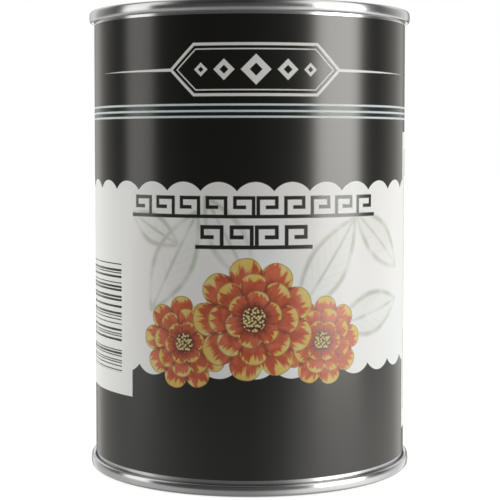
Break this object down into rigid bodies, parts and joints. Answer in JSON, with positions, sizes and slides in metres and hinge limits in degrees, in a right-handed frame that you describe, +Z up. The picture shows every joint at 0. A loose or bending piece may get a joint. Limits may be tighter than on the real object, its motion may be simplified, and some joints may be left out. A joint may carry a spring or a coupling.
{
  "type": "food can",
  "caption": "Sealed round tinplate can with a double-seamed end at top and bottom, a wrapped paper label, and whole peeled corms packed inside.",
  "frame": {"origin": "centre of the circle that the can stands on, at the foot of the bottom seam", "axes": "+Z up along the can's axis, -Y out of the front of the label, +X to the right of a person facing the front"},
  "size_m": [0.076, 0.076, 0.107],
  "materials": {
    "tinplate": "polished",
    "label_paper": "satin",
    "sealing_compound": "matte",
    "corm_flesh": "satin"
  },
  "bodies": {
    "root": {"can_body": "tinplate", "top_end": "tinplate", "bottom_end": "tinplate", "top_seal": "sealing_compound", "bottom_seal": "sealing_compound", "paper_label": "label_paper", "water_chestnut_01": "corm_flesh", "water_chestnut_02": "corm_flesh", "water_chestnut_03": "corm_flesh", "water_chestnut_04": "corm_flesh", "water_chestnut_05": "corm_flesh", "water_chestnut_06": "corm_flesh", "water_chestnut_07": "corm_flesh", "water_chestnut_08": "corm_flesh", "water_chestnut_09": "corm_flesh", "water_chestnut_10": "corm_flesh", "water_chestnut_11": "corm_flesh", "water_chestnut_12": "corm_flesh", "water_chestnut_13": "corm_flesh", "water_chestnut_14": "corm_flesh", "water_chestnut_15": "corm_flesh", "water_chestnut_16": "corm_flesh", "water_chestnut_17": "corm_flesh", "water_chestnut_18": "corm_flesh", "water_chestnut_19": "corm_flesh", "water_chestnut_20": "corm_flesh", "water_chestnut_21": "corm_flesh", "water_chestnut_22": "corm_flesh", "water_chestnut_23": "corm_flesh", "water_chestnut_24": "corm_flesh", "water_chestnut_25": "corm_flesh", "water_chestnut_26": "corm_flesh", "water_chestnut_27": "corm_flesh", "water_chestnut_28": "corm_flesh", "water_chestnut_29": "corm_flesh"}
  },
  "joints": []
}
